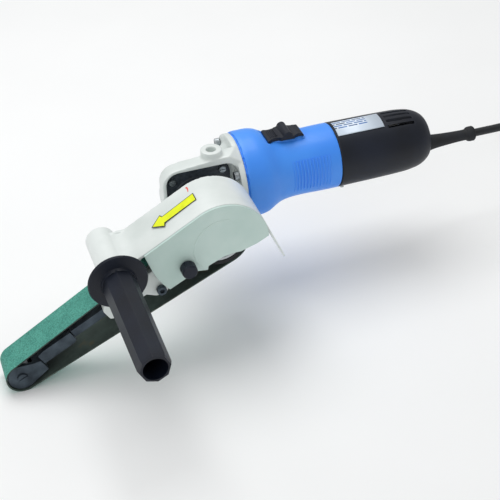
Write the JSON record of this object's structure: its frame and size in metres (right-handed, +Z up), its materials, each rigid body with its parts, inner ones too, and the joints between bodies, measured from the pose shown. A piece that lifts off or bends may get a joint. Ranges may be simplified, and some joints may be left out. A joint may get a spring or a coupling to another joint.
{
  "type": "handheld belt sander",
  "caption": "Handheld power sander with a narrow abrasive belt on a swivelling arm, a barrel motor grip, a side handle and a mains lead.",
  "frame": {"origin": "centre of the tool's own box, without the lead, on the floor it stands on", "axes": "+X along the motor from the belt's nose to the tail, +Y along the drive spindle from the belt side to the motor side, +Z up"},
  "size_m": [0.7213, 0.3653, 0.156],
  "materials": {
    "white_casting": "smooth white paint on die-cast metal",
    "door_grey": "pale grey-green paint on pressed plate",
    "blue_plastic": "bright blue moulded plastic",
    "black_plastic": "black moulded plastic",
    "dark_metal": "dark grey painted metal",
    "black_rubber": "black flexible rubber",
    "tyre_rubber": "firm grooved rubber",
    "steel": "machined steel",
    "gunmetal": "blackened steel",
    "alloy": "turned aluminium",
    "copper": "copper",
    "brass": "brass",
    "carbon": "pressed carbon",
    "belt_grit": "green abrasive grain on cloth",
    "yellow_print": "yellow printed film",
    "label_film": "pale printed film"
  },
  "bodies": {
    "motor_unit": {"gear_case": "white_casting", "bearing_plate": "dark_metal", "plate_screw_1": "steel", "plate_screw_2": "steel", "plate_screw_3": "steel", "motor_housing": "blue_plastic", "case_screw_1": "steel", "case_screw_2": "steel", "case_screw_3": "steel", "case_screw_4": "steel", "stator_core": "gunmetal", "field_coil_1": "copper", "field_coil_2": "copper", "brush_holder_1": "brass", "brush_holder_2": "brass", "carbon_brush_1": "carbon", "carbon_brush_2": "carbon", "rear_cover": "black_plastic", "rating_label": "label_film", "tail_screw_1": "steel", "tail_screw_2": "steel", "switch_body": "black_plastic", "spindle_bearing_near": "steel", "spindle_bearing_far": "steel", "motor_bearing_front": "steel", "motor_bearing_rear": "steel", "strain_relief": "black_rubber", "cord": "black_rubber", "cord_coil": "black_rubber", "cord_tie": "black_plastic", "plug_body": "black_rubber", "plug_pins": "brass"},
    "switch": {"switch_slider": "black_plastic", "switch_link": "steel"},
    "rotor": {"armature_shaft": "steel", "armature_core": "gunmetal", "commutator": "copper", "cooling_fan": "black_plastic", "bevel_pinion": "steel"},
    "drive": {"spindle": "steel", "bevel_gear": "gunmetal", "drive_hub": "alloy", "drive_tyre": "tyre_rubber", "wheel_nut": "steel"},
    "arm": {"belt_cover": "white_casting", "sanding_belt": "belt_grit", "arm_clamp_screw": "steel", "lock_screw": "gunmetal", "handle_grip": "black_plastic", "handle_stud": "steel", "direction_arrow": "yellow_print", "tension_spring": "steel"},
    "door": {"side_door": "door_grey"},
    "knob": {"door_knob": "black_plastic"},
    "carriage": {"slide_bar": "gunmetal", "slide_block": "gunmetal", "nose_yoke": "gunmetal", "nose_axle": "steel"},
    "front_wheel": {"nose_pulley": "steel"}
  },
  "joints": [
    {"name": "switch_slide", "type": "slide", "parent": "motor_unit", "child": "switch", "axis": [1, 0, 0], "range_m": [0, 0.008]},
    {"name": "drive_spin", "type": "hinge", "parent": "motor_unit", "child": "drive", "pos_m": [-0.04217, 0.0151, 0.11042], "axis": [0, 1, 0], "continuous": true},
    {"name": "rotor_spin", "type": "hinge", "parent": "motor_unit", "child": "rotor", "pos_m": [0.04782, 0.0931, 0.11042], "axis": [1, 0, 0], "continuous": true},
    {"name": "arm_swivel", "type": "hinge", "parent": "motor_unit", "child": "arm", "pos_m": [-0.04217, 0.0461, 0.11042], "axis": [0, 1, 0], "range_deg": [-60, 60]},
    {"name": "door_swing", "type": "hinge", "parent": "arm", "child": "door", "pos_m": [-0.07553, -0.0085, 0.09928], "axis": [0, 1, 0], "range_deg": [0, 100]},
    {"name": "knob_turn", "type": "hinge", "parent": "arm", "child": "knob", "pos_m": [-0.07553, -0.0149, 0.09928], "axis": [0, 1, 0], "range_deg": [-720, 0]},
    {"name": "tension_slide", "type": "slide", "parent": "arm", "child": "carriage", "axis": [0.8846, 0, 0.4664], "range_m": [0, 0.008], "stiffness_N_per_m": 3000, "springref_m": -0.01, "deforming": ["tension_spring"]},
    {"name": "nose_spin", "type": "hinge", "parent": "carriage", "child": "front_wheel", "pos_m": [-0.22457, 0.0151, 0.01425], "axis": [0, 1, 0], "continuous": true}
  ],
  "couplings": [
    {"joint": "rotor_spin", "follows": "drive_spin", "ratio": 4},
    {"joint": "nose_spin", "follows": "drive_spin", "ratio": 1.9294}
  ]
}
